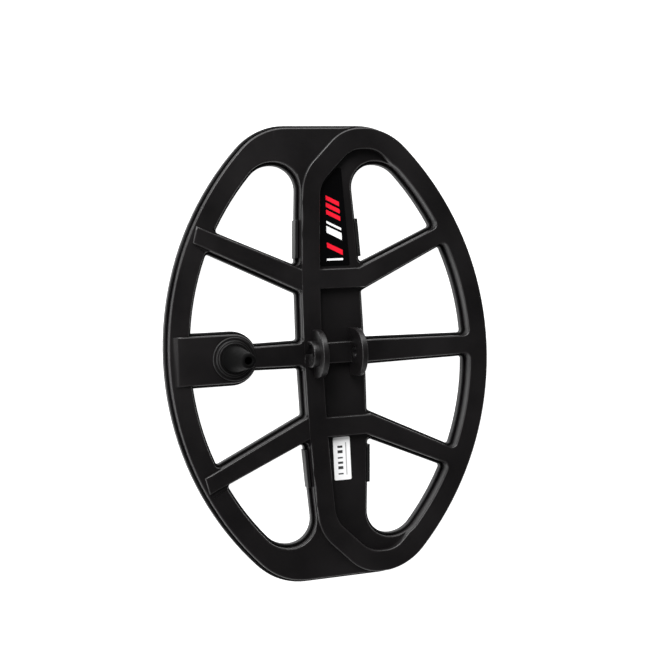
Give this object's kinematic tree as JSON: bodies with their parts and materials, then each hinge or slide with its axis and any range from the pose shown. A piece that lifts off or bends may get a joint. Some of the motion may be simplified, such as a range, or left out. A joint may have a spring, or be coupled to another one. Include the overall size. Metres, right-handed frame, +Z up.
{
  "type": "metal detector search coil",
  "caption": "Open-spoke oval search coil for a metal detector, with pivot ears for the shaft, a clip-on skid plate and a tapered cable sleeve.",
  "frame": {"origin": "centre of the skid plate's underside", "axes": "+Z up, out of the coil's upper side, where the ears and cable are; +Y along the long axis; +X towards the receive side, away from the cable"},
  "size_m": [0.2286, 0.3048, 0.0495],
  "materials": {
    "skid_plastic": "fine matt texture, scuffed under the rim",
    "base_plastic": "matt",
    "housing_plastic": "satin black, fine moulded grain",
    "sealant": "matt",
    "copper": "enamelled copper wire, glossy",
    "foil": "thin rolled foil",
    "foam": "closed-cell foam",
    "lacing": "waxed cord",
    "board_green": "solder mask",
    "chip_black": "moulded epoxy",
    "ceramic_tan": "ceramic",
    "screw_steel": "zinc plated",
    "lead_insulation": "smooth insulation",
    "gland_plastic": "satin black",
    "seal_rubber": "matt",
    "nut_brass": "turned",
    "sleeve_rubber": "soft satin rubber",
    "label_black": "glossy film with red and white stripes",
    "label_white": "white film with plain dark bars"
  },
  "bodies": {
    "coil": {"lower_housing": "base_plastic", "upper_housing": "housing_plastic", "seam_sealant": "sealant", "transmit_winding": "copper", "receive_winding": "copper", "transmit_shield": "foil", "receive_shield": "foil", "winding_spacers": "foam", "winding_ties": "lacing", "spine_filler": "foam", "ring_filler": "foam", "circuit_board": "board_green", "board_chip": "chip_black", "board_capacitors": "ceramic_tan", "board_screws": "screw_steel", "transmit_leads": "lead_insulation", "receive_leads": "lead_insulation", "cable_gland": "gland_plastic", "gland_seal": "seal_rubber", "gland_nut": "nut_brass", "strain_relief": "sleeve_rubber", "front_label": "label_black", "serial_label": "label_white"},
    "skid": {"skid_plate": "skid_plastic"}
  },
  "joints": [
    {"name": "skid_release", "type": "slide", "parent": "coil", "child": "skid", "axis": [0, 0, -1], "range_m": [0, 0.04]}
  ]
}
